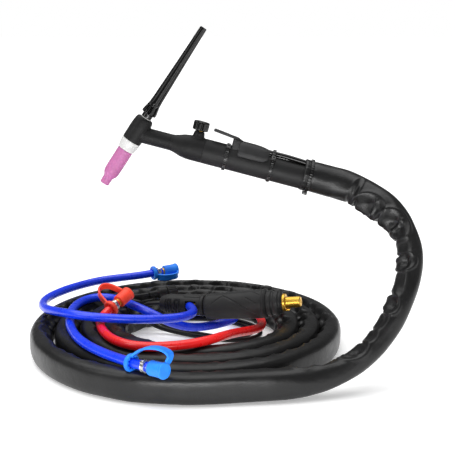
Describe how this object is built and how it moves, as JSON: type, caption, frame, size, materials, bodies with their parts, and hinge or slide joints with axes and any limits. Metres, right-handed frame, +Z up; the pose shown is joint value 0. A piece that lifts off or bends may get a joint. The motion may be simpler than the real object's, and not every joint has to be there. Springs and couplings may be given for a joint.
{
  "type": "welding torch",
  "caption": "Water-cooled TIG welding torch with long back cap, ceramic nozzle, gas valve, lever switch and a sheathed lead coiled under its plug and hoses.",
  "frame": {"origin": "centre of the coil's underside, on the floor", "axes": "+X towards the handle's rear and the plug's pin, +Y away from the side the torch hangs over, +Z up"},
  "size_m": [0.4503, 0.4135, 0.3779],
  "materials": {
    "head_rubber": "satin black rubber",
    "black_plastic": "satin black moulded plastic",
    "grey_washer": "light grey insulating washer",
    "brass": "machined brass",
    "copper_tube": "drawn copper tube",
    "tungsten": "ground tungsten",
    "white_insulator": "white PTFE",
    "pink_ceramic": "pink fired ceramic",
    "seal_rubber": "black seal rubber",
    "steel": "zinc plated steel",
    "cable_tie": "black nylon",
    "inner_hose": "black rubber hose",
    "sheath_leather": "black leatherette",
    "plug_rubber": "satin black rubber",
    "blue_hose": "glossy blue PVC",
    "red_hose": "glossy red PVC",
    "blue_cap": "blue rubber cap",
    "red_cap": "red rubber cap",
    "cable_jacket": "black cable jacket"
  },
  "bodies": {
    "torch_and_lead": {"torch_head_cover": "head_rubber", "head_core": "brass", "head_top_washer": "grey_washer", "collet_body": "copper_tube", "collet": "copper_tube", "nozzle_insulator": "white_insulator", "valve_body": "brass", "handle_shell": "black_plastic", "front_gas_tube": "copper_tube", "rear_gas_tube": "copper_tube", "water_inlet_tube": "copper_tube", "power_and_return_tube": "copper_tube", "inner_gas_hose": "inner_hose", "inner_water_hose": "inner_hose", "inner_power_hose": "inner_hose", "hose_ferrules": "brass", "switch_housing": "black_plastic", "lever_pin": "steel", "microswitch": "black_plastic", "switch_lead": "cable_jacket", "front_cable_tie": "cable_tie", "middle_cable_tie": "cable_tie", "rear_cable_tie": "cable_tie", "sheath_riser": "sheath_leather", "sheath_coil": "sheath_leather", "plug_sleeve": "plug_rubber", "plug_collar": "plug_rubber", "plug_pin": "brass", "plug_rear_sleeve": "plug_rubber", "plug_cable_clamp": "brass", "plug_gas_elbow": "brass", "gas_hose": "blue_hose", "water_in_hose": "blue_hose", "water_out_hose": "red_hose", "power_cable": "cable_jacket", "control_cable": "cable_jacket", "gas_nipple": "brass", "water_in_nipple": "brass", "water_out_nipple": "brass", "gas_cap_tether": "blue_cap", "water_in_cap_tether": "blue_cap", "water_out_cap_tether": "red_cap", "hose_clamps": "steel", "blue_cap_rings": "blue_cap", "water_out_cap_ring": "red_cap", "control_plug": "black_plastic"},
    "back_cap_carriage": {"back_cap_o_ring": "seal_rubber"},
    "back_cap": {"long_back_cap": "black_plastic"},
    "electrode": {"tungsten_electrode": "tungsten"},
    "nozzle": {"ceramic_nozzle": "pink_ceramic"},
    "valve_carriage": {"valve_o_ring": "seal_rubber"},
    "valve_stem": {"valve_knob": "black_plastic", "knob_screw": "steel", "valve_spindle": "brass"},
    "trigger": {"switch_lever": "black_plastic"},
    "switch_button": {"switch_plunger": "steel"},
    "gas_hose_cap": {"gas_cap": "blue_cap"},
    "water_in_hose_cap": {"water_in_cap": "blue_cap"},
    "water_out_hose_cap": {"water_out_cap": "red_cap"},
    "control_ring": {"control_plug_ring": "black_plastic"}
  },
  "joints": [
    {"name": "cap_rise", "type": "slide", "parent": "torch_and_lead", "child": "back_cap_carriage", "axis": [0.5505, 0, 0.8348], "range_m": [0, 0.003]},
    {"name": "cap_turn", "type": "hinge", "parent": "back_cap_carriage", "child": "back_cap", "pos_m": [-0.05149, -0.043, 0.2777], "axis": [0.5505, 0, 0.8348], "range_deg": [0, 1080]},
    {"name": "electrode_slide", "type": "slide", "parent": "torch_and_lead", "child": "electrode", "axis": [-0.5505, 0, -0.8348], "range_m": [0, 0.008]},
    {"name": "nozzle_turn", "type": "hinge", "parent": "torch_and_lead", "child": "nozzle", "pos_m": [-0.08452, -0.043, 0.22761], "axis": [-0.5505, 0, -0.8348], "range_deg": [0, 720]},
    {"name": "valve_rise", "type": "slide", "parent": "torch_and_lead", "child": "valve_carriage", "axis": [0.2554, 0, 0.9668], "range_m": [0, 0.0015]},
    {"name": "valve_turn", "type": "hinge", "parent": "valve_carriage", "child": "valve_stem", "pos_m": [0.00835, -0.043, 0.26297], "axis": [0.2554, 0, 0.9668], "range_deg": [0, 540]},
    {"name": "lever_press", "type": "hinge", "parent": "torch_and_lead", "child": "trigger", "pos_m": [0.05573, -0.043, 0.25045], "axis": [0, -1, 0], "range_deg": [0, 8]},
    {"name": "plunger_press", "type": "slide", "parent": "torch_and_lead", "child": "switch_button", "axis": [-0.2554, 0, -0.9668], "range_m": [0, 0.00095], "stiffness_N_per_m": 800, "springref_m": -0.0015},
    {"name": "gas_cap_pull", "type": "slide", "parent": "torch_and_lead", "child": "gas_hose_cap", "axis": [0.8809, 0.4719, 0.0378], "range_m": [0, 0.016], "deforming": ["gas_cap_tether"]},
    {"name": "water_in_cap_pull", "type": "slide", "parent": "torch_and_lead", "child": "water_in_hose_cap", "axis": [0.7566, -0.6518, 0.0524], "range_m": [0, 0.016], "deforming": ["water_in_cap_tether"]},
    {"name": "water_out_cap_pull", "type": "slide", "parent": "torch_and_lead", "child": "water_out_hose_cap", "axis": [0.5728, 0.7351, 0.3628], "range_m": [0, 0.016], "deforming": ["water_out_cap_tether"]},
    {"name": "control_ring_turn", "type": "hinge", "parent": "torch_and_lead", "child": "control_ring", "pos_m": [-0.0613, 0.0707, 0.0424], "axis": [0.8838, 0.4679, 0], "range_deg": [0, 90]}
  ],
  "couplings": [
    {"joint": "cap_turn", "follows": "cap_rise", "rad_per_m": 6283.2},
    {"joint": "valve_turn", "follows": "valve_rise", "rad_per_m": 6283.2},
    {"joint": "lever_press", "follows": "plunger_press", "rad_per_m": 146.9}
  ]
}
